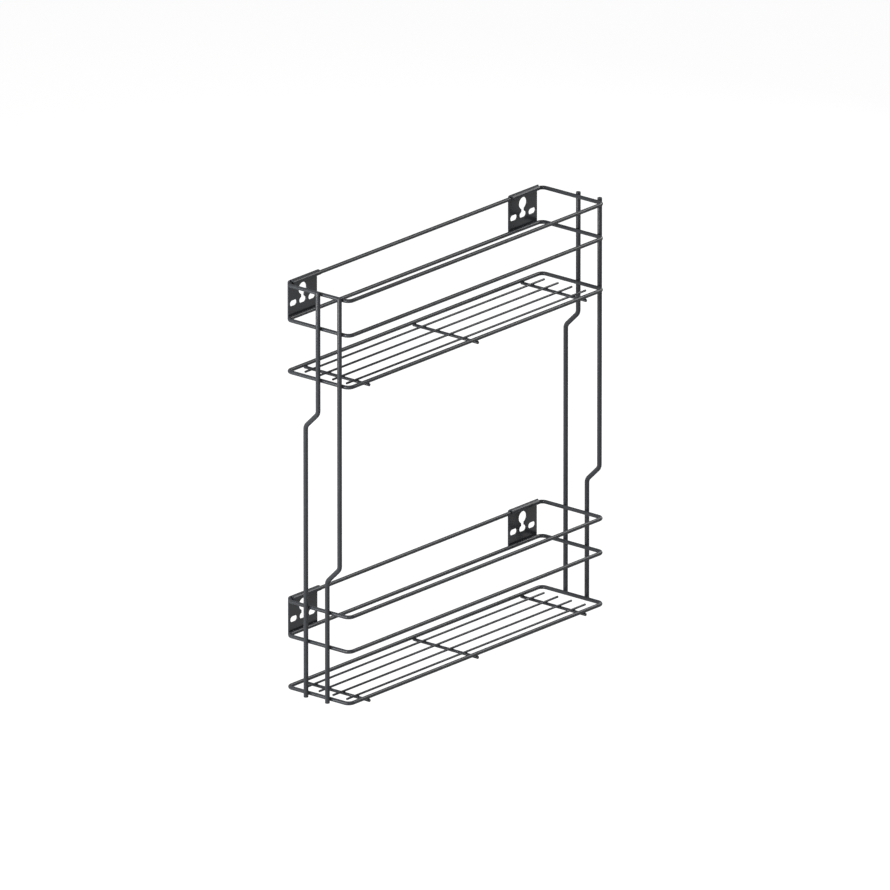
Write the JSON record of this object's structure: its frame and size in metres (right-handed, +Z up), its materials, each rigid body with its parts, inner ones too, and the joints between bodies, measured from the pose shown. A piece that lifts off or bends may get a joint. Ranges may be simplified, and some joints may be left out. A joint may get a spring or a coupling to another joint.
{
  "type": "side-mounted pull-out basket",
  "caption": "Tall narrow pull-out basket of bent and welded wire with stacked open trays, upright side rods and keyhole brackets for a side-mounted runner.",
  "frame": {"origin": "centre of the rectangle of the keyholes' feet, on the back plane of the brackets", "axes": "+X along the basket, +Y out of the brackets' backs towards the runner and the cabinet's side wall, +Z up"},
  "size_m": [0.5056, 0.1072, 0.5372],
  "materials": {
    "powder_coat": "satin"
  },
  "bodies": {
    "root": {"upper_top_rail": "powder_coat", "upper_mid_rail": "powder_coat", "upper_floor_rim": "powder_coat", "lower_top_rail": "powder_coat", "lower_mid_rail": "powder_coat", "lower_floor_rim": "powder_coat", "upper_floor_wire_1": "powder_coat", "upper_floor_wire_2": "powder_coat", "upper_floor_wire_3": "powder_coat", "upper_floor_wire_4": "powder_coat", "lower_floor_wire_1": "powder_coat", "lower_floor_wire_2": "powder_coat", "lower_floor_wire_3": "powder_coat", "lower_floor_wire_4": "powder_coat", "upper_cross_wire_left": "powder_coat", "upper_cross_wire_middle": "powder_coat", "upper_cross_wire_right": "powder_coat", "lower_cross_wire_left": "powder_coat", "lower_cross_wire_middle": "powder_coat", "lower_cross_wire_right": "powder_coat", "front_left_rod": "powder_coat", "front_right_rod": "powder_coat", "rear_left_rod": "powder_coat", "rear_right_rod": "powder_coat", "upper_left_bracket": "powder_coat", "upper_right_bracket": "powder_coat", "lower_left_bracket": "powder_coat", "lower_right_bracket": "powder_coat"}
  },
  "joints": []
}
